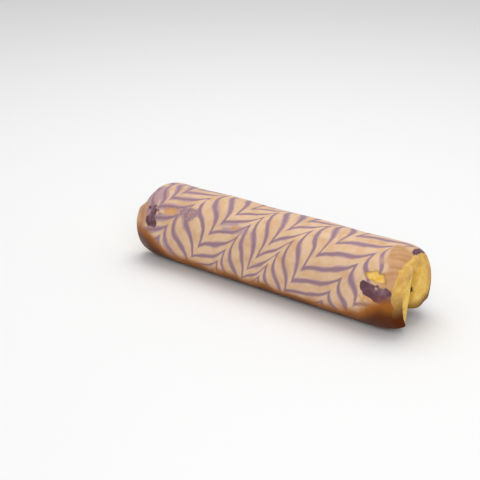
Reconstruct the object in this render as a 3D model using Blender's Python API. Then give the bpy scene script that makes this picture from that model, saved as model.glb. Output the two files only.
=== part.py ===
"""A Swiss roll cake: one thick sponge sheet folded over a slab of chocolate.

The roll lies along X with its seam underneath.  Z is up, and the origin is on
the surface that the roll rests on, under its middle.  All sizes are in metres.
The near side of the roll is towards -Y.  An angle goes round the roll from
straight down (0), over the far side and the top, to the near side.

Both solids are lofts between unlike sections, because the section changes all
the way along: the rim rounds off, the far lobe lifts off the surface, and near
each end the two lobes of the folded sheet close on the slot for the filling.
"""

import math

import bmesh
import bpy
from mathutils import Vector

# Driving dimensions
ROLL_LENGTH = 0.2595
ROLL_RADIUS = 0.0347
LEFT_TAPER = 0.0009      # the radius is this much less at the left end
SAG = 0.0055            # the underside is pressed in by this much
FLOOR_SOFTNESS = 0.0030     # rounding where the sides meet the flat underside
FIT_GAP = 0.0005        # air between the sponge and the filling

# The rounded rim: how deep it comes in, under, at the far side, on top and near
RIM_DEPTHS = (0.0070, 0.0100, 0.0140, 0.0125)
RIM_LENGTH = 0.0190     # stretch at each end over which the rim rounds off
RIM_POWER = 2.1         # 2 is a true ellipse, more is squarer

# The slot, as half widths at the middle of the roll and at its ends
SLOT_MOUTH = 0.0040
SLOT_WAIST = 0.0060
SLOT_FLARE = 0.0080
CRACK_HALF = 0.0010
CRACK_FOOT = 0.0036
CRACK_LEAN = 0.0075     # the crack leans this far to the near side at its foot
CRACK_LIP = 0.0024
LIP_LENGTH = 0.0045     # rounding of the lobes into the crack
CLOSING_START = 0.0300  # distance from the end at which the lobes start to close
CLOSING_END = 0.0090
ROOF_MIDDLE = 0.0415    # height of the slot's roof at the middle of the roll
ROOF_END = 0.0520
ROOF_COVER = 0.0045     # least thickness of sponge over the slot
ROOF_RISE = 0.35        # the roof's crown, as a share of its half width
FILLING_RECESS = 0.0022     # the filling stops short of the end face
FILLING_RISE = 0.0016       # and clear of the surface below

# Feet of the two lobes, which lift off the surface towards the ends
NEAR_LIFT = 0.0045
FAR_LIFT = 0.0150
LIFT_LENGTH = 0.0320

# The near lobe bulges out past the left end
TONGUE_REACH = 0.0040
TONGUE_TOP = 0.0490     # height at which the bulge has died away
TONGUE_LENGTH = 0.0100
TONGUE_INNER = 0.0070   # the bulge keeps this far from the roll's middle plane
TONGUE_EDGE = 0.0055    # height over which the bulge starts

# Unevenness of a soft cake
WAVE_HEIGHT = 0.0004
WAVE_LENGTH = 0.085

# Resolution of the two lofts
RINGS_MIDDLE = 12
RINGS_RIM = 10
LEAST_SPACING = 0.0005
POINTS_SIDE = 17        # up each side of the slot
POINTS_ROOF = 10        # over its roof
POINTS_AROUND = 2 * POINTS_SIDE + POINTS_ROOF

CENTRE_HEIGHT = ROLL_RADIUS - SAG
HALF_LENGTH = ROLL_LENGTH / 2
SHIFT = Vector((TONGUE_REACH / 2, 0.0, 0.0))    # centres the roll with its bulge


def clear_scene():
    """Remove every object, so that the file holds the roll alone."""
    for item in list(bpy.data.objects):
        bpy.data.objects.remove(item, do_unlink=True)


def smooth_step(value):
    """Ease from 0 to 1 as the value goes from 0 to 1."""
    value = min(max(value, 0.0), 1.0)
    return value * value * (3.0 - 2.0 * value)


def mix(first, second, share):
    """Blend two numbers."""
    return first + (second - first) * share


def end_distance(x):
    """Distance from a station along the roll to the nearer end face."""
    return HALF_LENGTH - abs(x)


def closing(x):
    """How far the lobes have closed on the slot: 0 inside, 1 at the ends."""
    span = CLOSING_START - CLOSING_END
    return smooth_step((CLOSING_START - end_distance(x)) / span)


def rim_depth(angle):
    """Depth of the rim at an angle, eased between its four stated depths."""
    depth = 0.0
    for quarter, part in enumerate(RIM_DEPTHS):
        facing = math.cos(angle - 0.5 * math.pi * quarter)
        depth += part * max(facing, 0.0) ** 2
    return depth


def rim_inset(x, angle):
    """How far the rounded rim lies inside the full radius."""
    share = max(0.0, 1.0 - end_distance(x) / RIM_LENGTH)
    return rim_depth(angle) * (1.0 - (1.0 - share ** RIM_POWER) ** (1.0 / RIM_POWER))


def outer_radius(x, angle):
    """Radius of the skin, with the slight waves of a soft cake on its upper part."""
    swing = math.sin(2.0 * math.pi * x / WAVE_LENGTH + 2.0 * angle)
    upper = 0.5 - 0.5 * math.cos(angle)
    taper = LEFT_TAPER * (0.5 - x / ROLL_LENGTH)
    return ROLL_RADIUS - taper + WAVE_HEIGHT * swing * upper - rim_inset(x, angle)


def foot_height(x, side):
    """Height of a lobe's foot, which rises towards the ends: side is 1 for the far lobe."""
    share = 1.0 - end_distance(x) / LIFT_LENGTH
    lift = FAR_LIFT if side > 0.0 and x > 0.0 else NEAR_LIFT
    return lift * smooth_step(share)


def press_flat(height, foot):
    """Press a point's height against the foot's level, with a soft shoulder."""
    above = height - foot
    if above >= FLOOR_SOFTNESS:
        return height
    reach = max(above + FLOOR_SOFTNESS, 0.0)
    return foot + reach * reach / (4.0 * FLOOR_SOFTNESS)


def skin_point(x, angle, side):
    """One point of the skin of the far lobe (side 1) or the near one (-1), as Y and Z."""
    radius = outer_radius(x, angle)
    height = CENTRE_HEIGHT - radius * math.cos(angle)
    return radius * math.sin(angle), press_flat(height, foot_height(x, side))


def mouth_angle(x, side):
    """Angle at which the skin meets one side of the slot, found by repeated trial."""
    height = 0.0
    for _ in range(6):
        angle = math.asin(slot_edge(x, height, side) / outer_radius(x, 0.0))
        height = skin_point(x, angle, side)[1]
    return angle


def skin_points(x):
    """The skin's outline, from the far foot over the top to the near one."""
    start = mouth_angle(x, 1.0)
    stop = 2.0 * math.pi + mouth_angle(x, -1.0)
    points = []
    for step in range(POINTS_AROUND):
        angle = mix(start, stop, (step + 1) / (POINTS_AROUND + 1))
        points.append(skin_point(x, angle, 1.0 if angle < math.pi else -1.0))
    return points


def mouth_height(x, side):
    """Height at which the skin meets one side of the slot."""
    return skin_point(x, mouth_angle(x, side), side)[1]


def roof_height(x):
    """Height of the top of the slot, which stays under the skin at the rim."""
    top = skin_point(x, math.pi, 1.0)[1]
    return min(mix(ROOF_MIDDLE, ROOF_END, closing(x)), top - ROOF_COVER)


def slot_centre(x, share):
    """Sideways place of the slot's middle at a share of the way up to its roof."""
    return -CRACK_LEAN * closing(x) * (1.0 - share)


def slot_half_width(x, share):
    """Half the slot's width at a share of the way up to its roof."""
    waist = mix(SLOT_MOUTH, SLOT_WAIST, smooth_step(share / 0.35))
    filled = mix(waist, SLOT_FLARE, smooth_step((share - 0.72) / 0.28))
    crack = mix(CRACK_FOOT, CRACK_HALF, smooth_step(share / 0.45))
    lip = max(0.0, 1.0 - end_distance(x) / LIP_LENGTH)
    crack += CRACK_LIP * lip * lip
    return mix(filled, crack, closing(x))


def slot_edge(x, height, side):
    """Sideways place of one side of the slot: -1 is its near side, and 1 its far side."""
    share = height / roof_height(x)
    return slot_centre(x, share) + side * slot_half_width(x, share)


def slot_side(x, gap, foot, shoulder, side):
    """Points up one side of the slot, drawn in by the gap."""
    points = []
    for step in range(POINTS_SIDE):
        height = mix(foot, shoulder, step / (POINTS_SIDE - 1))
        points.append((slot_edge(x, height, side) - side * gap, height))
    return points


def slot_points(x, gap, lift):
    """The slot's outline in one section, from its near foot over to its far one.

    The gap and the lift shrink the outline, so that what fills the slot stays clear.
    """
    near_foot = mouth_height(x, -1.0) + lift
    far_foot = mouth_height(x, 1.0) + lift
    rise = ROOF_RISE * (slot_half_width(x, 1.0) - gap)
    shoulder = roof_height(x) - gap - rise
    near = slot_side(x, gap, near_foot, shoulder, -1.0)
    far = slot_side(x, gap, far_foot, shoulder, 1.0)
    roof = []
    for step in range(POINTS_ROOF):
        turn = math.pi * (step + 1) / (POINTS_ROOF + 1)
        y = mix(near[-1][0], far[-1][0], 0.5 - 0.5 * math.cos(turn))
        roof.append((y, shoulder + rise * math.sin(turn)))
    return near + roof + far[::-1]


def tongue(x, y, z):
    """How far the near lobe's end bulges out past the left end."""
    if x > 0.0:
        return 0.0
    close = smooth_step(1.0 - end_distance(x) / TONGUE_LENGTH)
    low = smooth_step((TONGUE_TOP - z) / TONGUE_EDGE)
    near = smooth_step((-y - TONGUE_INNER) / TONGUE_LENGTH)
    return TONGUE_REACH * close * low * near


def sponge_section(x):
    """The inverted U of the folded sheet: the slot's outline, and back over the skin's."""
    outline = slot_points(x, 0.0, 0.0) + skin_points(x)
    return [(x - tongue(x, y, z), y, z) for y, z in outline]


def filling_section(x):
    """The chocolate in the slot."""
    return [(x, y, z) for y, z in slot_points(x, FIT_GAP, FILLING_RISE)]


def stations(reach):
    """Places of the sections out to a reach, closer together near the ends.

    The filling's end is among them, so that both bodies have sections there.
    """
    inner = HALF_LENGTH - LIFT_LENGTH
    filling_end = HALF_LENGTH - FILLING_RECESS
    places = [mix(-inner, inner, step / RINGS_MIDDLE) for step in range(RINGS_MIDDLE + 1)]
    for step in range(1, RINGS_RIM + 1):
        share = math.sin(0.5 * math.pi * step / RINGS_RIM)
        place = mix(inner, HALF_LENGTH, share)
        if abs(place - filling_end) > LEAST_SPACING:
            places += [-place, place]
    places += [-filling_end, filling_end]
    return [place for place in sorted(places) if abs(place) <= reach]


def close_end(shape, ring):
    """Close an end with rungs across the section, whose two legs have equal counts."""
    last = len(ring) - 1
    for index in range(last // 2):
        rung = (ring[index], ring[last - index])
        following = (ring[last - index - 1], ring[index + 1])
        shape.faces.new(rung + following)


def loft(name, section, reach):
    """Skin a closed body over the sections, with its ends closed."""
    shape = bmesh.new()
    rings = []
    for x in stations(reach):
        rings.append([shape.verts.new(Vector(place) + SHIFT) for place in section(x)])
    for ring, following in zip(rings, rings[1:]):
        count = len(ring)
        for index in range(count):
            after = (index + 1) % count
            shape.faces.new((ring[index], ring[after], following[after], following[index]))
    close_end(shape, rings[0])
    close_end(shape, rings[-1])
    bmesh.ops.triangulate(shape, faces=shape.faces[:], quad_method="FIXED")
    bmesh.ops.recalc_face_normals(shape, faces=shape.faces[:])
    mesh = bpy.data.meshes.new(name)
    shape.to_mesh(mesh)
    shape.free()
    mesh.shade_smooth()
    mesh.set_sharp_from_angle(angle=math.radians(40))
    return bpy.data.objects.new(name, mesh)


def material(name, colour, roughness):
    """A plain Principled material for one sub-part."""
    made = bpy.data.materials.new(name)
    made.use_nodes = True
    shader = made.node_tree.nodes["Principled BSDF"]
    shader.inputs["Base Color"].default_value = (*colour, 1.0)
    shader.inputs["Roughness"].default_value = roughness
    shader.inputs["Metallic"].default_value = 0.0
    return made


def make_sponge():
    """The folded sponge sheet."""
    sponge = loft("sponge", sponge_section, HALF_LENGTH)
    sponge.data.materials.append(material("sponge_crumb", (0.72, 0.46, 0.22), 0.75))
    return sponge


def make_filling():
    """The chocolate slab, which runs the length of the slot."""
    filling = loft("filling", filling_section, HALF_LENGTH - FILLING_RECESS)
    filling.data.materials.append(material("chocolate_filling", (0.05, 0.02, 0.012), 0.3))
    return filling


def main():
    """Build the roll in its own collection."""
    clear_scene()
    roll = bpy.data.collections.new("swiss_roll_cake")
    bpy.context.scene.collection.children.link(roll)
    for piece in (make_sponge(), make_filling()):
        roll.objects.link(piece)


main()
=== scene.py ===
"""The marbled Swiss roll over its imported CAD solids: skin, crumb, chocolate, floor and light.

The roll lies along X, its near side towards -Y.  All sizes are in metres.  Its skin was
baked flat and then folded, so a place on the skin is given on that flat sheet: `x` along
the roll, and `down`, the length of skin from the crest towards the near side.
"""

import math

import bmesh
import bpy
from mathutils import Matrix, Vector, noise


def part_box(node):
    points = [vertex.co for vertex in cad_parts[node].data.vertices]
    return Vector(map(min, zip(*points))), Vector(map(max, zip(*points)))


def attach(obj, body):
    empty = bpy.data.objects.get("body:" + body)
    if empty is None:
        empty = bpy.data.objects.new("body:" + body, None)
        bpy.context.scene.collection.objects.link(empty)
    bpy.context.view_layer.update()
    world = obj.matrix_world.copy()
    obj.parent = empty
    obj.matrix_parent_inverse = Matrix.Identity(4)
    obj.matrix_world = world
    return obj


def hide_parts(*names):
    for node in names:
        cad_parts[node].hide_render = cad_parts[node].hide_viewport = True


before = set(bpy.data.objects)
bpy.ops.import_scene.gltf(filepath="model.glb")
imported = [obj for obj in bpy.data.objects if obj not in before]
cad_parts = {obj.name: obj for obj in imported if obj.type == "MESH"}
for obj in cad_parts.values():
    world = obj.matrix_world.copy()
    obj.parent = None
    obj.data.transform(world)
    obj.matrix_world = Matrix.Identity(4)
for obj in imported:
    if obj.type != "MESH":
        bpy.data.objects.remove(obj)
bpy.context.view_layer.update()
SPONGE_LOW, SPONGE_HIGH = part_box("sponge")

# The roll's form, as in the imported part
TONGUE_REACH = 0.0040       # the near lobe bulges out past the left end
TONGUE_TOP = 0.0490
TONGUE_LENGTH = 0.0100
TONGUE_INNER = 0.0070
TONGUE_EDGE = 0.0055
ROLL_LENGTH = SPONGE_HIGH.x - SPONGE_LOW.x - TONGUE_REACH
ROLL_RADIUS = SPONGE_HIGH.y
LEFT_TAPER = 0.0009
SAG = 0.0055
FLOOR_SOFTNESS = 0.0030
FIT_GAP = 0.0005
RIM_DEPTHS = (0.0070, 0.0100, 0.0140, 0.0125)
RIM_LENGTH = 0.0190
RIM_POWER = 2.1
SLOT_MOUTH = 0.0040
SLOT_WAIST = 0.0060
SLOT_FLARE = 0.0080
CRACK_HALF = 0.0010
CRACK_FOOT = 0.0036
CRACK_LEAN = 0.0075
CLOSING_START = 0.0300
CLOSING_END = 0.0090
ROOF_MIDDLE = 0.0415
ROOF_END = 0.0520
ROOF_COVER = 0.0045
ROOF_RISE = 0.35
FILLING_RECESS = 0.0022
FILLING_RISE = 0.0016
NEAR_LIFT = 0.0045
FAR_LIFT = 0.0150
LIFT_LENGTH = 0.0320
WAVE_HEIGHT = 0.0004
WAVE_LENGTH = 0.085
CENTRE_HEIGHT = ROLL_RADIUS - SAG
HALF_LENGTH = ROLL_LENGTH / 2
SHIFT = TONGUE_REACH / 2

# Fineness of the meshes
RING_SPACING = 0.00112
RIM_SPACING = 0.00062
POINTS_SKIN = 224
POINTS_SLOT = 56            # a quarter as many, since little of the slot shows
SKIN_PER_SLOT = POINTS_SKIN // POINTS_SLOT
END_ROWS = 22               # across an end face, from the slot to the skin

# The marbling: piped stripes, pulled to and fro by a comb
SHEET_RADIUS = 0.035        # turns an angle round the roll into a length of skin
STROKE_LEVEL = 0.0175       # `down` at which the comb's strokes are placed
STROKE_LEAN = 0.68          # how far a stroke drifts along the roll, per length round it
STRIPE_DRIFT = -76.0        # stripes crossed per metre along a stroke
LEAN_REACH = 0.020          # beyond this a stroke has only the common lean
# Each stroke: its place along the roll, its own lean and drift, and the stripe it drags there
STROKES = (
    (-0.1210, 0.500, -84.0, -8.50),
    (-0.0988, 0.585, -88.0, -5.86),
    (-0.0731, 0.730, -82.0, -6.90),
    (-0.0318, 0.700, -84.0, -3.09),
    (-0.0095, 0.560, -83.0, -4.50),
    (0.0215, 0.600, -62.0, -0.98),
    (0.0365, 0.690, -77.0, -2.45),
    (0.0663, 0.720, -67.0, 0.95),
    (0.1011, 0.730, -72.0, -0.05),
    (0.1215, 0.500, -90.0, 2.75),
)
PAIR_SPACING = 0.0540       # further strokes go on in pairs at this spacing
PAIR_STRIPES = 2.10
LEAF_SPACING = 0.0220       # between the two strokes of a pair
LEAF_STRIPES = -1.15
FURTHER_PAIRS = 4
# How the pull is shared between a stroke's own feather, the next one's, and the way between
WIDE_PULL = (0.26, 0.26)    # where the stripes stay broad
LEAF_PULL = (0.22, 0.56)    # where they are drawn out into leaves
CUSP_WIDTH = 0.14

# Colours, as linear light
PEACH = (0.720, 0.495, 0.320)
PEACH_DEEP = (0.630, 0.385, 0.210)
MAUVE = (0.310, 0.190, 0.222)
MAUVE_PALE = (0.460, 0.298, 0.315)
STAIN = (0.120, 0.050, 0.065)
CAP = (0.500, 0.258, 0.106)
# Paler cap colour, for uneven tone and a painted highlight on the folds' crests
CAP_PALE_AND_HIGHLIGHT = (0.560, 0.315, 0.160)
# Browning colours, which also give painted shade round the torn skin and in the crack's groove
TOASTED_AND_SHADE = (0.350, 0.115, 0.010)
BROWNED_AND_SHADE = (0.090, 0.018, 0.001)
TAN = (0.640, 0.300, 0.070)
CRUMB = (0.850, 0.575, 0.160)
CRUMB_DEEP = (0.760, 0.440, 0.070)
CHOCOLATE = (0.060, 0.020, 0.008)
CHOCOLATE_PALE = (0.110, 0.042, 0.020)

FLOOR_GAP = 0.0002          # keeps the floor off the flat underside

# Stripes
STRIPE_HALF = 0.195         # half a stripe's width, as a share of the spacing
STRIPE_SOFTNESS = 0.075

# Marks on the skin, as (along the roll, down from the crest)
BLISTER_PLACE = (-0.0745, 0.0285)
BLISTER_REACH = (0.0095, 0.0058)
TEAR_PLACE = (0.1125, 0.0355)
TEAR_REACH = (0.0080, 0.0038)
CREASE = ((-0.0650, 0.0100), (-0.0711, 0.0197), (-0.0798, 0.0267))
SMEARS = (
    (((0.1020, 0.0445), (0.1110, 0.0490), (0.1240, 0.0560)), 0.0042),
    (((0.1070, 0.0475), (0.1205, 0.0480)), 0.0060),
    (((0.1060, 0.0640), (0.1180, 0.0640), (0.1265, 0.0600)), 0.0020),
)
CREASE_WIDTH = 0.0014
CREASE_HEIGHT = 0.0005
FOLD_HEIGHT = 0.0013
CAP_EDGE = 0.1085
CRUMB_EDGE = 0.0048         # open crumb starts this far from an end face
BROWN_EDGE = 0.0760
BROWN_EDGE_END = 0.0560
BROWN_LENGTH = 0.0330
BASE_BROWN = 0.0100         # the end faces darken towards the foot up to this height
GROOVE_DEPTH = 0.0085       # the lobes round into the crack by this much
GROOVE_REACH = 0.0042
GROOVE_LENGTH = 0.0140
GROOVE_TOP = 0.0560
GROOVE_FADE = 0.0160
FAR_STEP = 0.0020           # the far lobe stands back by this much at the right end
PINCH_LENGTH = 0.0120       # the crack is pinched shut over this length
PINCH_LEAST = 0.35
SPREAD_HEIGHT = 0.0300      # chocolate shows in the crack about this height
SPREAD_REACH = 0.0052
# Painted shade: the crumb in the groove at the crack is darkened by up to this share
CRACK_SHADE = 0.45
# The skin folds onto the near lobe's ends beyond this far from the middle, up to this height
RIGHT_WRAP = (0.0300, 0.0430)
LEFT_WRAP = (0.0190, 0.0560)
GAPE_SHARE = 0.58           # except about this share of the way up
GAPE_REACH = 0.16
TEAR_SHADE = 0.40
RIM_TINT = 0.0120           # crumb this close to an end is warmer
RIM_TINT_SHARE = 0.30       # and on the end faces, this share of the way in from the skin
LUMP_DEPTH = 0.0006
FINE_DEPTH = 0.0002
PIT_DEPTH = 0.0005


def smooth_step(value):
    """Ease from 0 to 1 as the value goes from 0 to 1."""
    value = min(max(value, 0.0), 1.0)
    return value * value * (3.0 - 2.0 * value)


def mix(first, second, share):
    """Blend two numbers."""
    return first + (second - first) * share


def bump(value, centre, width):
    """A smooth hump: 1 at the centre and 0 a width away."""
    return smooth_step(1.0 - abs(value - centre) / width)


def grain(x, y, z, size):
    """Smooth noise of about -1 to 1, with features of a given size."""
    return noise.noise(Vector((x, y, z)) / size)


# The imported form, section by section

def end_distance(x):
    """Distance from a station along the roll to the nearer end face."""
    return HALF_LENGTH - abs(x)


def closing(x):
    """How far the lobes have closed on the slot: 0 inside, 1 at the ends."""
    span = CLOSING_START - CLOSING_END
    return smooth_step((CLOSING_START - end_distance(x)) / span)


def rim_depth(angle):
    """Depth of the rim at an angle, eased between its four stated depths."""
    depth = 0.0
    for quarter, part in enumerate(RIM_DEPTHS):
        facing = math.cos(angle - 0.5 * math.pi * quarter)
        depth += part * max(facing, 0.0) ** 2
    return depth


def rim_inset(x, angle):
    """How far the rounded rim lies inside the full radius."""
    share = min(max(0.0, 1.0 - end_distance(x) / RIM_LENGTH), 1.0)
    return rim_depth(angle) * (1.0 - (1.0 - share ** RIM_POWER) ** (1.0 / RIM_POWER))


def outer_radius(x, angle):
    """Radius of the skin, with the slight waves of a soft cake on its upper part."""
    swing = math.sin(2.0 * math.pi * x / WAVE_LENGTH + 2.0 * angle)
    upper = 0.5 - 0.5 * math.cos(angle)
    taper = LEFT_TAPER * (0.5 - x / ROLL_LENGTH)
    return ROLL_RADIUS - taper + WAVE_HEIGHT * swing * upper - rim_inset(x, angle)


def foot_height(x, side):
    """Height of a lobe's foot, which rises towards the ends: side is 1 for the far lobe."""
    share = 1.0 - end_distance(x) / LIFT_LENGTH
    lift = FAR_LIFT if side > 0.0 and x > 0.0 else NEAR_LIFT
    return lift * smooth_step(share)


def press_flat(height, foot):
    """Press a point's height against the foot's level, with a soft shoulder."""
    above = height - foot
    if above >= FLOOR_SOFTNESS:
        return height
    reach = max(above + FLOOR_SOFTNESS, 0.0)
    return foot + reach * reach / (4.0 * FLOOR_SOFTNESS)


def skin_point(x, angle, side, relief=0.0):
    """One point of the skin of the far lobe (side 1) or the near one (-1), as Y and Z."""
    radius = outer_radius(x, angle) + relief
    height = CENTRE_HEIGHT - radius * math.cos(angle)
    return radius * math.sin(angle), press_flat(height, foot_height(x, side))


def mouth_angle(x, side):
    """Angle at which the skin meets one side of the slot, found by repeated trial."""
    height = 0.0
    for _ in range(6):
        angle = math.asin(slot_edge(x, height, side) / outer_radius(x, 0.0))
        height = skin_point(x, angle, side)[1]
    return angle


def mouth_height(x, side):
    """Height at which the skin meets one side of the slot."""
    return skin_point(x, mouth_angle(x, side), side)[1]


def roof_height(x):
    """Height of the top of the slot, which stays under the skin at the rim."""
    top = skin_point(x, math.pi, 1.0)[1]
    return min(mix(ROOF_MIDDLE, ROOF_END, closing(x)), top - ROOF_COVER)


def slot_centre(x, share):
    """Sideways place of the slot's middle at a share of the way up to its roof."""
    return -CRACK_LEAN * closing(x) * (1.0 - share)


def slot_half_width(x, share):
    """Half the slot's width at a share of the way up to its roof."""
    waist = mix(SLOT_MOUTH, SLOT_WAIST, smooth_step(share / 0.35))
    filled = mix(waist, SLOT_FLARE, smooth_step((share - 0.72) / 0.28))
    crack = mix(CRACK_FOOT, CRACK_HALF, smooth_step(share / 0.45))
    pinch = smooth_step(1.0 - end_distance(x) / PINCH_LENGTH)
    still_open = mix(PINCH_LEAST, 1.0, bump(share, GAPE_SHARE, GAPE_REACH))
    return mix(filled, crack, closing(x)) * mix(1.0, still_open, pinch)


def slot_edge(x, height, side):
    """Sideways place of one side of the slot: -1 is its near side, and 1 its far side."""
    share = height / roof_height(x)
    return slot_centre(x, share) + side * slot_half_width(x, share)


def slot_points(x, count, gap, lift):
    """The slot's outline in one section, from its near foot over to its far one."""
    roof_count = max(count // 5, 4)
    side_count = (count - roof_count) // 2
    near_foot = mouth_height(x, -1.0) + lift
    far_foot = mouth_height(x, 1.0) + lift
    rise = ROOF_RISE * (slot_half_width(x, 1.0) - gap)
    shoulder = roof_height(x) - gap - rise
    points = []
    for side, foot in ((-1.0, near_foot), (1.0, far_foot)):
        edge = []
        for step in range(side_count):
            height = mix(foot, shoulder, step / (side_count - 1))
            air = min(gap, 0.3 * slot_half_width(x, height / roof_height(x)))
            edge.append((slot_edge(x, height, side) - side * air, height))
        points.append(edge)
    near, far = points
    roof_count = count - 2 * side_count
    roof = []
    for step in range(roof_count):
        turn = math.pi * (step + 1) / (roof_count + 1)
        y = mix(near[-1][0], far[-1][0], 0.5 - 0.5 * math.cos(turn))
        roof.append((y, shoulder + rise * math.sin(turn)))
    return near + roof + far[::-1]


def tongue(x, y, z):
    """How far the near lobe's end bulges out past the left end."""
    if x > 0.0:
        return 0.0
    close = smooth_step(1.0 - end_distance(x) / TONGUE_LENGTH)
    low = smooth_step((TONGUE_TOP - z) / TONGUE_EDGE)
    near = smooth_step((-y - TONGUE_INNER) / TONGUE_LENGTH)
    return TONGUE_REACH * close * low * near


def groove(x, y, z):
    """How deep a place lies in the groove between the lobes: 1 at its bottom."""
    share = min(z / roof_height(x), 1.0)
    sideways = (y - slot_centre(x, share)) / GROOVE_REACH
    return smooth_step((GROOVE_TOP - z) / GROOVE_FADE) * math.exp(-abs(sideways) ** 1.5)


def spread_at(x, y, z):
    """Where chocolate shows at the gaping part of the crack: 1 on it and 0 elsewhere."""
    tall = bump(z, SPREAD_HEIGHT, SPREAD_REACH)
    return smooth_step((groove(x, y, z) - 0.80 + 0.42 * tall) / 0.10) * smooth_step(tall * 3.0)


def draw_in(x, y, z):
    """How far the lobes' rounding into the crack draws an end in, towards the middle."""
    near_end = smooth_step(1.0 - end_distance(x) / GROOVE_LENGTH)
    depth = GROOVE_DEPTH * near_end * groove(x, y, z)
    far = smooth_step((y - 0.004) / 0.016) * smooth_step((0.060 - z) / 0.020)
    return depth + (FAR_STEP * far * near_end if x > 0.0 else 0.0)


def set_in_frame(x, y, z):
    """A vertex's place in the frame: bulged at the left end and drawn in at the crack."""
    side = 1.0 if x > 0.0 else -1.0
    return (x + SHIFT - tongue(x, y, z) - side * draw_in(x, y, z), y, z)


def stations(reach):
    """Places of the sections out to a reach, closer together near the ends."""
    inner = HALF_LENGTH - LIFT_LENGTH
    steps = math.ceil(2.0 * inner / RING_SPACING)
    places = [mix(-inner, inner, step / steps) for step in range(steps + 1)]
    rim_steps = math.ceil(LIFT_LENGTH / RIM_SPACING)
    for step in range(1, rim_steps + 1):
        share = math.sin(0.5 * math.pi * step / rim_steps)
        place = mix(inner, HALF_LENGTH, share)
        places += [-place, place]
    return [place for place in sorted(places) if abs(place) <= reach]


# Marks on the flat sheet

def all_strokes():
    """The placed strokes, and regular pairs of them beyond both ends."""
    first = STROKES[0]
    last = STROKES[-1]
    before = []
    after = []
    for pair in range(FURTHER_PAIRS):
        back = first[0] - pair * PAIR_SPACING
        stripe = first[3] - pair * PAIR_STRIPES
        start = back - PAIR_SPACING + LEAF_SPACING
        before.append((start, STROKE_LEAN, STRIPE_DRIFT, stripe - PAIR_STRIPES - LEAF_STRIPES))
        before.append((back - PAIR_SPACING, STROKE_LEAN, STRIPE_DRIFT, stripe - PAIR_STRIPES))
        ahead = last[0] + pair * PAIR_SPACING
        stripe = last[3] + pair * PAIR_STRIPES
        after.append((ahead + LEAF_SPACING, STROKE_LEAN, STRIPE_DRIFT, stripe + LEAF_STRIPES))
        after.append((ahead + PAIR_SPACING, STROKE_LEAN, STRIPE_DRIFT, stripe + PAIR_STRIPES))
    return sorted(before + list(STROKES) + after)


def gathered(share, pull):
    """Share of the way from one stroke's drag to the next, steeper close to both."""
    scale = 1.0 - math.exp(-1.0 / CUSP_WIDTH)
    leaving = (1.0 - math.exp(-share / CUSP_WIDTH)) / scale
    nearing = 1.0 - (1.0 - math.exp(-(1.0 - share) / CUSP_WIDTH)) / scale
    return pull[0] * leaving + pull[1] * nearing + (1.0 - sum(pull)) * share


def stroke_at(stroke, below):
    """Where a stroke runs, and which stripe it drags there, below the level of placing."""
    place, lean, drift, stripe = stroke
    own = min(max(below, -LEAN_REACH), LEAN_REACH)
    place -= STROKE_LEAN * below + (lean - STROKE_LEAN) * own
    stripe += STRIPE_DRIFT * below + (drift - STRIPE_DRIFT) * own
    return place, stripe


def stripe_phase(x, down, strokes):
    """Which stripe lies at a place on the sheet: a whole number at the middle of a stripe."""
    below = down - STROKE_LEVEL
    previous = stroke_at(strokes[0], below)
    for stroke in strokes[1:]:
        following = stroke_at(stroke, below)
        if following[0] > x:
            break
        previous = following
    width = max(following[0] - previous[0], 1e-5)
    share = min(max((x - previous[0]) / width, 0.0), 1.0)
    pull = LEAF_PULL if following[1] < previous[1] else WIDE_PULL
    return mix(previous[1], following[1], gathered(share, pull))


def nearest_on(path, x, down):
    """Distance from a place on the sheet to a path over it."""
    best = 1.0
    place = Vector((x, down))
    for start, stop in zip(path, path[1:]):
        start = Vector(start)
        along = Vector(stop) - start
        share = min(max((place - start).dot(along) / along.length_squared, 0.0), 1.0)
        best = min(best, (place - start - share * along).length)
    return best


def patch(x, down, centre, reach, ragged=0.35):
    """A ragged patch on the sheet: 1 at its middle, falling to 0 over its reach."""
    across = (x - centre[0]) / reach[0]
    along = (down - centre[1]) / reach[1]
    distance = math.hypot(across, along) + ragged * grain(x, down, centre[0], 0.006)
    return smooth_step((1.25 - distance) / 0.60)


def streak(x, down, path, width):
    """A ragged streak along a path on the sheet."""
    distance = nearest_on(path, x, down) / width + 0.40 * grain(x, down, width, 0.005)
    return smooth_step((1.15 - distance) / 0.55)


def blistered(x, down):
    """The patch of small bubbles by the crease, near the left end."""
    return patch(x, down, BLISTER_PLACE, BLISTER_REACH)


def torn(x, down):
    """The torn skin near the right end."""
    return patch(x, down, TEAR_PLACE, TEAR_REACH, 1.1)


def tear_edge(x, down):
    """Painted shade round the rim of the torn skin."""
    inside = torn(x, down)
    return TEAR_SHADE * 4.0 * inside * (1.0 - inside)


def broad(x):
    """Where the stripes are piped broader, towards the left end."""
    return smooth_step((-0.062 - x) / 0.040)


def capped(x, down):
    """The plain, folded-over skin at the right end, where the stripes stop."""
    edge = CAP_EDGE + 0.10 * max(-down, 0.0) + 0.008 * grain(x, down, 3.0, 0.009)
    return smooth_step((x - edge) / 0.009) * smooth_step((down + 0.004) / 0.009)


def fold_at(x, down):
    """Height of the soft folds that run along the plain skin, from about -1 to 1."""
    return grain(x + 1.7 * down, 0.5 * down, 0.0, 0.0065)


def wrapped(x, y, z):
    """Where the near lobe's skin folds round onto its end face."""
    ragged = 0.0022 * grain(x, y, z, 0.009)
    edge, top = RIGHT_WRAP if x > 0.0 else LEFT_WRAP
    return smooth_step((ragged - edge - y) / 0.003) * smooth_step((top - z) / 0.008)


def bared(x, y, z):
    """How far the skin has given way to open crumb, close to the two ends."""
    edge = CRUMB_EDGE + 0.0016 * grain(x, y, z, 0.010) + 0.0008 * grain(x, y, z, 0.003)
    bare = smooth_step((edge - end_distance(x)) / 0.0040 + 0.5)
    return bare * (1.0 - wrapped(x, y, z))


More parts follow.
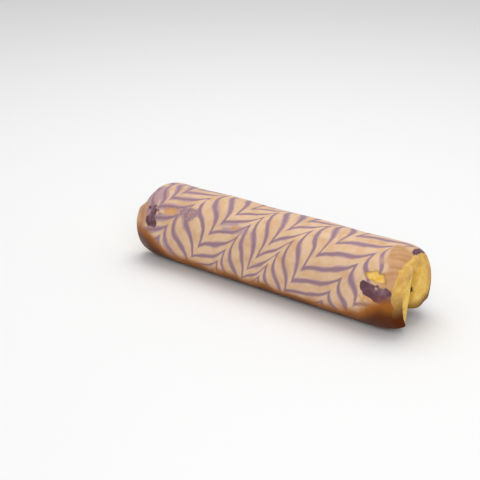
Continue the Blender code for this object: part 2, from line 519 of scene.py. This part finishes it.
def stained(x, down):
    """The dark mauve blotches at both ends."""
    blotch = 0.50 * patch(x, down, (-0.1105, 0.0370), (0.0090, 0.0140))
    core = 0.95 * patch(x, down, (-0.1100, 0.0395), (0.0058, 0.0080), 0.8)
    smear = max(streak(x, down, path, width) for path, width in SMEARS)
    fleck = 0.8 * patch(x, down, (0.1245, -0.0130), (0.0030, 0.0130), 0.4)
    return min(max(blotch, core, smear, fleck), 1.0)


def washed(x, down):
    """Where the mauve batter has run together."""
    runs = (
        patch(x, down, (-0.0760, 0.0280), (0.0120, 0.0070)),
        patch(x, down, (-0.1180, 0.0260), (0.0080, 0.0200)),
        patch(x, down, (-0.0260, 0.0300), (0.0170, 0.0050)),
    )
    return max(runs)


def tanned(x, down):
    """The warmer, toasted parts of the skin."""
    lip = patch(x, down, (-0.1220, 0.0400), (0.0060, 0.0150))
    toast = max(
        patch(x, down, (-0.0930, 0.0298), (0.0075, 0.0040), 0.6),
        patch(x, down, (-0.0260, 0.0300), (0.0045, 0.0018), 0.6),
    )
    low = 0.8 * smooth_step((x - 0.085) / 0.030) * smooth_step((down - 0.040) / 0.014)
    return min(max(lip, toast, low), 1.0)


def browned(x, down):
    """How far the skin is browned, which grows towards the underside."""
    low = abs(down) + 0.004 * grain(x, down, 7.0, 0.015)
    edge = mix(BROWN_EDGE, BROWN_EDGE_END, smooth_step((abs(x) - 0.085) / 0.035))
    return smooth_step((low - edge) / BROWN_LENGTH + 0.5)


def creased(x, down):
    """The thin raised crease near the left end."""
    return smooth_step(1.0 - nearest_on(CREASE, x, down) / CREASE_WIDTH)


def pits(x, y, z, size):
    """Open pores of the crumb: 0 between them and 1 at the middle of each."""
    distance = noise.voronoi(Vector((x, y, z)) / size)[0][0]
    return smooth_step(1.0 - distance / 0.48)


def crumb_relief(x, y, z):
    """Depth of the open crumb below its face."""
    lumps = 0.5 + 0.5 * grain(x, y, z, 0.0075)
    fine = 0.5 + 0.5 * grain(x, y, z, 0.0022)
    return LUMP_DEPTH * lumps + FINE_DEPTH * fine + PIT_DEPTH * pits(x, y, z, 0.0026)


def skin_relief(x, down, bare):
    """Height of the skin's folds, crease, bubbles and tear over its smooth form."""
    height = 0.00016 * grain(x, down, 1.0, 0.011) + 0.00006 * grain(x, down, 2.0, 0.0032)
    folds = capped(x, down) * bump(down, 0.018, 0.026)
    height += FOLD_HEIGHT * folds * fold_at(x, down)
    height += CREASE_HEIGHT * creased(x, down)
    height -= 0.00035 * blistered(x, down) * pits(x, down, 0.0, 0.0022)
    open_tear = torn(x, down)
    height -= open_tear * (0.0006 + 0.0009 * (0.5 + 0.5 * grain(x, down, 4.0, 0.0028)))
    height -= bare * crumb_relief(x, down, 0.5)
    return height


# The sponge's mesh

MARKS = ("phase", "bare", "stain", "tan", "brown", "plain", "blister", "wash", "crease", "width",
         "fold", "rim", "spread")


class Shape:
    """Vertices, their marks, and faces that each belong to an island of the flat layout."""

    def __init__(self):
        self.places = []
        self.sheets = []
        self.marks = {name: [] for name in MARKS}
        self.faces = []
        self.islands = []

    def add(self, place, sheet, **marks):
        """Add one vertex, and give its number."""
        self.places.append(place)
        self.sheets.append(sheet)
        for name in MARKS:
            self.marks[name].append(marks.get(name, 0.0))
        return len(self.places) - 1

    def face(self, corners, island):
        """Add one face."""
        self.faces.append(corners)
        self.islands.append(island)


def add_skin_ring(shape, x, strokes):
    """Add one section's skin, from the far foot over the top to the near one."""
    start = mouth_angle(x, 1.0)
    stop = 2.0 * math.pi + mouth_angle(x, -1.0)
    ring = []
    for step in range(POINTS_SKIN):
        angle = mix(start, stop, (step + 1) / (POINTS_SKIN + 1))
        side = 1.0 if angle < math.pi else -1.0
        down = (angle - math.pi) * SHEET_RADIUS
        smooth = skin_point(x, angle, side)
        bare = bared(x, *smooth)
        clear = smooth_step(step / 8.0) * smooth_step((POINTS_SKIN - 1 - step) / 8.0)
        relief = skin_relief(x, down, bare) * clear * smooth_step(end_distance(x) / 0.0006)
        y, z = skin_point(x, angle, side, relief)
        ring.append(shape.add(
            set_in_frame(x, y, z), (x, down), phase=stripe_phase(x, down, strokes),
            bare=max(bare, torn(x, down)), stain=stained(x, down), tan=tanned(x, down),
            # the browning mark also carries the painted shade round the torn skin's rim
            brown=max(browned(x, down), tear_edge(x, down)), plain=capped(x, down),
            blister=blistered(x, down),
            wash=washed(x, down), crease=creased(x, down), fold=fold_at(x, down),
            rim=smooth_step(1.0 - end_distance(x) / RIM_TINT), width=broad(x)))
    return ring


def add_slot_ring(shape, x):
    """Add one section's slot, from the far foot over its roof to the near one."""
    ring = []
    points = slot_points(x, POINTS_SLOT, 0.0, 0.0)[::-1]
    for step, (y, z) in enumerate(points):
        sheet = (x, step / (POINTS_SLOT - 1))
        ring.append(shape.add(set_in_frame(x, y, z), sheet, bare=1.0))
    return ring


def slot_partner(shape, slot, index):
    """The place on a slot ring that faces one point of the skin ring."""
    share = (index + 0.5) / POINTS_SKIN * POINTS_SLOT - 0.5
    share = min(max(share, 0.0), POINTS_SLOT - 1.001)
    low = int(share)
    start = Vector(shape.places[slot[low]])
    return start.lerp(Vector(shape.places[slot[low + 1]]), share - low)


def close_end(shape, skin, slot, x, island):
    """Close an end with rows of crumb between the slot and the skin."""
    side = 1.0 if x > 0.0 else -1.0
    rows = [skin]
    for row in range(1, END_ROWS):
        share = row / END_ROWS
        made = []
        for index in range(POINTS_SKIN):
            place = Vector(shape.places[skin[index]])
            place = place.lerp(slot_partner(shape, slot, index), share)
            place = Vector(set_in_frame(x, place.y, place.z))
            clear = smooth_step(share / 0.10) * smooth_step((1.0 - share) / 0.12)
            place.x -= side * clear * crumb_relief(*place)
            foot = foot_height(x, 1.0 if place.y > -0.004 else -1.0)
            # Darker near the foot, and painted shade in the groove at the crack
            low = smooth_step((BASE_BROWN - place.z + foot) / BASE_BROWN)
            skin_left = wrapped(x, place.y, place.z)
            shade = CRACK_SHADE * groove(x, place.y, place.z)
            made.append(shape.add(
                place, (x, 0.0), bare=1.0 - skin_left, tan=1.0, plain=1.0,
                brown=max(0.75 * low, shade), spread=spread_at(x, place.y, place.z),
                rim=smooth_step(1.0 - share / RIM_TINT_SHARE)))
        rows.append(made)
    for outer, inner in zip(rows, rows[1:]):
        for index in range(POINTS_SKIN - 1):
            shape.face((outer[index], outer[index + 1], inner[index + 1], inner[index]), island)
    close_slot_edge(shape, rows[-1], slot, island)
    shape.face((skin[0], *[row[0] for row in rows[1:]], slot[0]), island)
    shape.face((slot[-1], *[row[-1] for row in rows[:0:-1]], skin[-1]), island)


def close_slot_edge(shape, row, slot, island):
    """Join the last row of crumb to the slot, which has a quarter as many points."""
    for index in range(POINTS_SKIN - 1):
        here = index // SKIN_PER_SLOT
        after = (index + 1) // SKIN_PER_SLOT
        shape.face((row[index], row[index + 1], slot[after]), island)
        if after > here:
            shape.face((row[index], slot[after], slot[here]), island)


def join_rings(shape, ring, following, island):
    """Skin the strip between two sections."""
    for index in range(len(ring) - 1):
        shape.face(
            (ring[index], ring[index + 1], following[index + 1], following[index]), island)


def sheet_layout(shape, vertex, island):
    """Where a vertex lies in the flat layout of one island."""
    x, down = shape.sheets[vertex]
    _, y, z = shape.places[vertex]
    if island == "skin":
        return (x / ROLL_LENGTH * 0.97 + 0.5, 0.36 + down * 3.2)
    if island == "slot":
        return (x / ROLL_LENGTH * 0.40 + 0.78, 0.77 + down * 0.20)
    start = 0.14 if island == "left" else 0.40
    return (start + y * 3.2, 0.77 + z * 3.2)


def to_object(shape, name):
    """Make an object from a shape, with its marks as attributes and its flat layout."""
    mesh = bpy.data.meshes.new(name)
    mesh.from_pydata(shape.places, [], shape.faces)
    for mark, values in shape.marks.items():
        layer = mesh.attributes.new(mark, "FLOAT", "POINT")
        layer.data.foreach_set("value", values)
    layout = mesh.uv_layers.new(name="OFBake")
    places = []
    for corners, island in zip(shape.faces, shape.islands):
        for vertex in corners:
            places += sheet_layout(shape, vertex, island)
    layout.data.foreach_set("uv", places)
    made = bpy.data.objects.new(name, mesh)
    bpy.context.scene.collection.objects.link(made)
    tidy = bmesh.new()
    tidy.from_mesh(mesh)
    bmesh.ops.triangulate(tidy, faces=tidy.faces[:])
    bmesh.ops.recalc_face_normals(tidy, faces=tidy.faces[:])
    tidy.to_mesh(mesh)
    tidy.free()
    mesh.shade_smooth()
    return made


def make_sponge():
    """The folded sheet of sponge, as one closed mesh."""
    strokes = all_strokes()
    shape = Shape()
    places = stations(HALF_LENGTH)
    skins = [add_skin_ring(shape, x, strokes) for x in places]
    slots = [add_slot_ring(shape, x) for x in places]
    for index in range(len(places) - 1):
        join_rings(shape, skins[index], skins[index + 1], "skin")
        join_rings(shape, slots[index + 1], slots[index], "slot")
        pair = (skins[index], skins[index + 1])
        near = (slots[index], slots[index + 1])
        shape.face((pair[0][-1], near[0][-1], near[1][-1], pair[1][-1]), "skin")
        shape.face((near[0][0], pair[0][0], pair[1][0], near[1][0]), "skin")
    close_end(shape, skins[0], slots[0], places[0], "left")
    close_end(shape, skins[-1], slots[-1], places[-1], "right")
    made = to_object(shape, "sponge_cake")
    print("sponge_cake triangles", len(made.data.polygons))
    return made


def make_chocolate():
    """The chocolate in the slot, as one closed mesh."""
    shape = bmesh.new()
    rings = []
    for x in stations(HALF_LENGTH - FILLING_RECESS):
        points = slot_points(x, POINTS_SLOT, FIT_GAP, FILLING_RISE)
        rings.append([shape.verts.new(set_in_frame(x, y, z)) for y, z in points])
    for ring, following in zip(rings, rings[1:]):
        for index in range(POINTS_SLOT):
            after = (index + 1) % POINTS_SLOT
            shape.faces.new((ring[index], ring[after], following[after], following[index]))
    for ring in (rings[0], rings[-1]):
        for index in range(POINTS_SLOT // 2 - 1):
            mirror = POINTS_SLOT - 1 - index
            shape.faces.new((ring[index], ring[mirror], ring[mirror - 1], ring[index + 1]))
    bmesh.ops.triangulate(shape, faces=shape.faces[:])
    bmesh.ops.recalc_face_normals(shape, faces=shape.faces[:])
    mesh = bpy.data.meshes.new("chocolate")
    shape.to_mesh(mesh)
    shape.free()
    mesh.shade_smooth()
    made = bpy.data.objects.new("chocolate", mesh)
    bpy.context.scene.collection.objects.link(made)
    return made


# Materials

class Nodes:
    """Short names for adding shader nodes to one material."""

    def __init__(self, name):
        self.material = bpy.data.materials.new(name)
        self.material.use_nodes = True
        self.tree = self.material.node_tree
        self.shader = self.tree.nodes["Principled BSDF"]

    def put(self, socket, value):
        """Link a socket, or set it to a constant."""
        if isinstance(value, bpy.types.NodeSocket):
            self.tree.links.new(value, socket)
        else:
            socket.default_value = value

    def mark(self, name):
        """Read one of the mesh's marks."""
        node = self.tree.nodes.new("ShaderNodeAttribute")
        node.attribute_name = name
        return node.outputs["Fac"]

    def sum(self, operation, first, second=0.0):
        """Work out a sum of two values."""
        node = self.tree.nodes.new("ShaderNodeMath")
        node.operation = operation
        self.put(node.inputs[0], first)
        self.put(node.inputs[1], second)
        return node.outputs[0]

    def ease(self, value, low, high):
        """Ease a value to 0 at its low limit and to 1 at its high one."""
        node = self.tree.nodes.new("ShaderNodeMapRange")
        node.interpolation_type = "SMOOTHSTEP"
        self.put(node.inputs["Value"], value)
        self.put(node.inputs["From Min"], low)
        self.put(node.inputs["From Max"], high)
        return node.outputs["Result"]

    def cloud(self, size, detail=2.0):
        """Smooth noise in the object's space, with features of a given size."""
        node = self.tree.nodes.new("ShaderNodeTexNoise")
        place = self.tree.nodes.new("ShaderNodeTexCoord")
        self.put(node.inputs["Vector"], place.outputs["Object"])
        node.inputs["Scale"].default_value = 1.0 / size
        node.inputs["Detail"].default_value = detail
        return node.outputs["Fac"]

    def cells(self, size):
        """Distance to the nearest of scattered points, in the object's space."""
        node = self.tree.nodes.new("ShaderNodeTexVoronoi")
        place = self.tree.nodes.new("ShaderNodeTexCoord")
        self.put(node.inputs["Vector"], place.outputs["Object"])
        node.inputs["Scale"].default_value = 1.0 / size
        return node.outputs["Distance"]

    def ragged(self, name, size, amount=0.9):
        """One of the mesh's marks, with its edge broken up by noise."""
        noisy = self.sum("MULTIPLY", self.sum("SUBTRACT", self.cloud(size, 4.0), 0.5), amount)
        return self.ease(self.sum("ADD", self.mark(name), noisy), 0.32, 0.68)

    def blend(self, share, first, second):
        """Blend two colours."""
        node = self.tree.nodes.new("ShaderNodeMix")
        node.data_type = "RGBA"
        self.put(node.inputs[0], share)
        for socket, colour in ((node.inputs[6], first), (node.inputs[7], second)):
            self.put(socket, (*colour, 1.0) if isinstance(colour, tuple) else colour)
        return node.outputs[2]

    def raise_by(self, height, distance, strength=1.0):
        """Give the surface a fine relief."""
        node = self.tree.nodes.new("ShaderNodeBump")
        node.inputs["Strength"].default_value = strength
        node.inputs["Distance"].default_value = distance
        self.put(node.inputs["Height"], height)
        self.put(self.shader.inputs["Normal"], node.outputs["Normal"])


def skin_colour(nodes):
    """The striped skin: peach batter with feathered mauve stripes."""
    wander = nodes.sum("MULTIPLY", nodes.sum("SUBTRACT", nodes.cloud(0.018), 0.5), 0.40)
    phase = nodes.sum("ADD", nodes.mark("phase"), wander)
    turn = nodes.sum("FRACT", nodes.sum("ADD", phase, 0.5))
    away = nodes.sum("ABSOLUTE", nodes.sum("SUBTRACT", turn, 0.5))
    half = nodes.sum("MULTIPLY", nodes.sum("SUBTRACT", nodes.cloud(0.024, 3.0), 0.5), 0.34)
    half = nodes.sum("ADD", half, STRIPE_HALF)
    half = nodes.sum("ADD", half, nodes.sum("MULTIPLY", nodes.mark("width"), 0.13))
    half = nodes.sum("ADD", half, nodes.sum("MULTIPLY", nodes.mark("wash"), 0.22))
    inner = nodes.sum("SUBTRACT", half, STRIPE_SOFTNESS)
    outer = nodes.sum("ADD", half, STRIPE_SOFTNESS)
    stripe = nodes.sum("SUBTRACT", 1.0, nodes.ease(away, inner, outer))
    stripe = nodes.sum("MULTIPLY", stripe, nodes.sum("SUBTRACT", 1.0, nodes.mark("plain")))
    batter = nodes.blend(nodes.ease(nodes.cloud(0.009, 4.0), 0.35, 0.75), PEACH, PEACH_DEEP)
    faded = nodes.sum("SUBTRACT", nodes.cloud(0.007, 3.0), 0.5)
    faded = nodes.sum("ADD", nodes.ease(away, 0.04, 0.22), faded)
    mauve = nodes.blend(nodes.ease(faded, 0.1, 0.9), MAUVE, MAUVE_PALE)
    colour = nodes.blend(stripe, batter, mauve)
    colour = nodes.blend(nodes.sum("MULTIPLY", nodes.mark("wash"), 0.30), colour, mauve)
    colour = nodes.blend(nodes.sum("MULTIPLY", nodes.mark("crease"), 0.8), colour, PEACH)
    fizz = nodes.ease(nodes.cells(0.0022), 0.15, 0.45)
    froth = nodes.blend(fizz, PEACH_DEEP, MAUVE)
    colour = nodes.blend(nodes.sum("MULTIPLY", nodes.ragged("blister", 0.004), 0.8), colour, froth)
    warm = nodes.blend(nodes.ease(nodes.cloud(0.006, 3.0), 0.3, 0.7), TAN, CAP)
    fold = nodes.sum("MULTIPLY", nodes.sum("SUBTRACT", nodes.cloud(0.008, 3.0), 0.5), 0.5)
    fold = nodes.ease(nodes.sum("ADD", nodes.mark("plain"), fold), 0.0, 1.1)
    # Paler on the folds' crests: painted highlight, mixed with uneven tone from noise
    crest = nodes.ease(nodes.sum("ADD", nodes.mark("fold"), nodes.cloud(0.005, 3.0)), 0.2, 0.9)
    colour = nodes.blend(fold, colour, nodes.blend(crest, CAP, CAP_PALE_AND_HIGHLIGHT))
    toast = nodes.sum("MULTIPLY", nodes.ragged("tan", 0.004, 1.8), 0.65)
    colour = nodes.blend(toast, colour, warm)
    stain = nodes.blend(nodes.ease(nodes.cloud(0.006, 4.0), 0.4, 0.9), STAIN, MAUVE)
    colour = nodes.blend(nodes.ragged("stain", 0.005, 1.4), colour, stain)
    # Browning towards the underside, with painted shade round the torn skin's rim
    uneven = nodes.sum("MULTIPLY", nodes.sum("SUBTRACT", nodes.cloud(0.014, 4.0), 0.5), 0.35)
    baked = nodes.sum("ADD", nodes.mark("brown"), uneven)
    colour = nodes.blend(nodes.ease(baked, 0.10, 0.60), colour, TOASTED_AND_SHADE)
    return nodes.blend(nodes.ease(baked, 0.45, 1.0), colour, BROWNED_AND_SHADE)


def sponge_material():
    """Skin where the sheet is whole, and open crumb where it is bare."""
    nodes = Nodes("marbled_sponge")
    crumb = nodes.blend(nodes.ease(nodes.cloud(0.0035, 4.0), 0.35, 0.70), CRUMB, CRUMB_DEEP)
    # Painted shade in the crumb's pores: darker at the middle of each
    pore_shade = nodes.sum("SUBTRACT", 1.0, nodes.ease(nodes.cells(0.0026), 0.10, 0.28))
    crumb = nodes.blend(nodes.sum("MULTIPLY", pore_shade, 0.45), crumb, CRUMB_DEEP)
    tint = nodes.sum("MULTIPLY", nodes.mark("rim"), nodes.ease(nodes.cloud(0.009, 3.0), 0.2, 0.7))
    crumb = nodes.blend(nodes.sum("MULTIPLY", tint, 0.8), crumb, CAP)
    # Darker crumb near the foot, with painted shade in the crack's groove and round the torn skin
    crumb = nodes.blend(nodes.mark("brown"), crumb, BROWNED_AND_SHADE)
    colour = nodes.blend(nodes.ragged("bare", 0.0035), skin_colour(nodes), crumb)
    colour = nodes.blend(nodes.mark("spread"), colour, CHOCOLATE)
    nodes.put(nodes.shader.inputs["Base Color"], colour)
    nodes.put(nodes.shader.inputs["Roughness"], nodes.ease(nodes.mark("bare"), -1.0, 1.4))
    nodes.shader.inputs["Specular IOR Level"].default_value = 0.14
    nodes.shader.inputs["Subsurface Weight"].default_value = 0.12
    nodes.shader.inputs["Subsurface Radius"].default_value = (1.0, 0.55, 0.25)
    nodes.shader.inputs["Subsurface Scale"].default_value = 0.0025
    coarse = nodes.sum("MULTIPLY", nodes.cells(0.0022), nodes.mark("bare"))
    fine = nodes.sum("MULTIPLY", nodes.cloud(0.0011, 3.0), 0.35)
    nodes.raise_by(nodes.sum("ADD", coarse, fine), 0.0005, 0.55)
    return nodes.material


def chocolate_material():
    """Glossy dark chocolate spread."""
    nodes = Nodes("chocolate_spread")
    sheen = nodes.ease(nodes.cloud(0.008, 3.0), 0.25, 0.80)
    nodes.put(nodes.shader.inputs["Base Color"], nodes.blend(sheen, CHOCOLATE, CHOCOLATE_PALE))
    nodes.put(nodes.shader.inputs["Roughness"], nodes.sum("MULTIPLY", sheen, 0.45))
    nodes.shader.inputs["Coat Weight"].default_value = 0.3
    nodes.raise_by(nodes.cloud(0.005, 2.0), 0.001, 0.5)
    return nodes.material


# Floor, light and camera

def make_floor():
    """A plain pale floor."""
    bpy.ops.mesh.primitive_plane_add(size=8.0)
    floor = bpy.context.object
    floor.name = "floor"
    floor.location.z = -FLOOR_GAP
    nodes = Nodes("pale_floor")
    nodes.shader.inputs["Base Color"].default_value = (0.86, 0.86, 0.86, 1.0)
    nodes.shader.inputs["Roughness"].default_value = 0.9
    floor.data.materials.append(nodes.material)
    return floor


def add_light(name, place, size, power):
    """A large soft light, turned to the roll."""
    lamp = bpy.data.lights.new(name, "AREA")
    lamp.size = size
    lamp.energy = power
    made = bpy.data.objects.new(name, lamp)
    made.location = place
    made.rotation_euler = (-Vector(place)).to_track_quat("-Z", "Y").to_euler()
    bpy.context.scene.collection.objects.link(made)


def make_studio():
    """Soft light from all round, stronger from above."""
    world = bpy.data.worlds.new("studio")
    bpy.context.scene.world = world
    world.use_nodes = True
    world.node_tree.nodes["Background"].inputs["Color"].default_value = (1.0, 1.0, 1.0, 1.0)
    world.node_tree.nodes["Background"].inputs["Strength"].default_value = 0.60
    add_light("top_light", (-0.15, 0.25, 1.10), 0.9, 6.5)
    add_light("front_light", (0.75, -0.80, 0.70), 0.8, 4.6)
    bpy.context.scene.view_settings.view_transform = "Standard"


def make_camera():
    """The camera, from the near right, looking down on the roll."""
    lens = bpy.data.cameras.new("camera")
    lens.lens = 84.8
    lens.sensor_width = 36.0
    made = bpy.data.objects.new("camera", lens)
    right = Vector((0.79800, 0.60265, 0.0))
    above = Vector((-0.23596, 0.31245, 0.92016))
    back = right.cross(above)
    turn = Matrix((right, above, back)).transposed().to_4x4()
    made.matrix_world = Matrix.Translation((0.49178, -0.70035, 0.40274)) @ turn
    bpy.context.scene.collection.objects.link(made)
    bpy.context.scene.camera = made


def main():
    """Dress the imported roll, and set up the studio."""
    sponge = make_sponge()
    sponge.data.materials.append(sponge_material())
    chocolate = make_chocolate()
    chocolate.data.materials.append(chocolate_material())
    for piece, node, slot in (
        (sponge, "sponge", "sponge_crumb"),
        (chocolate, "filling", "chocolate_filling"),
    ):
        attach(piece, "root")
        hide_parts(node)
    make_floor()
    make_studio()
    make_camera()


main()
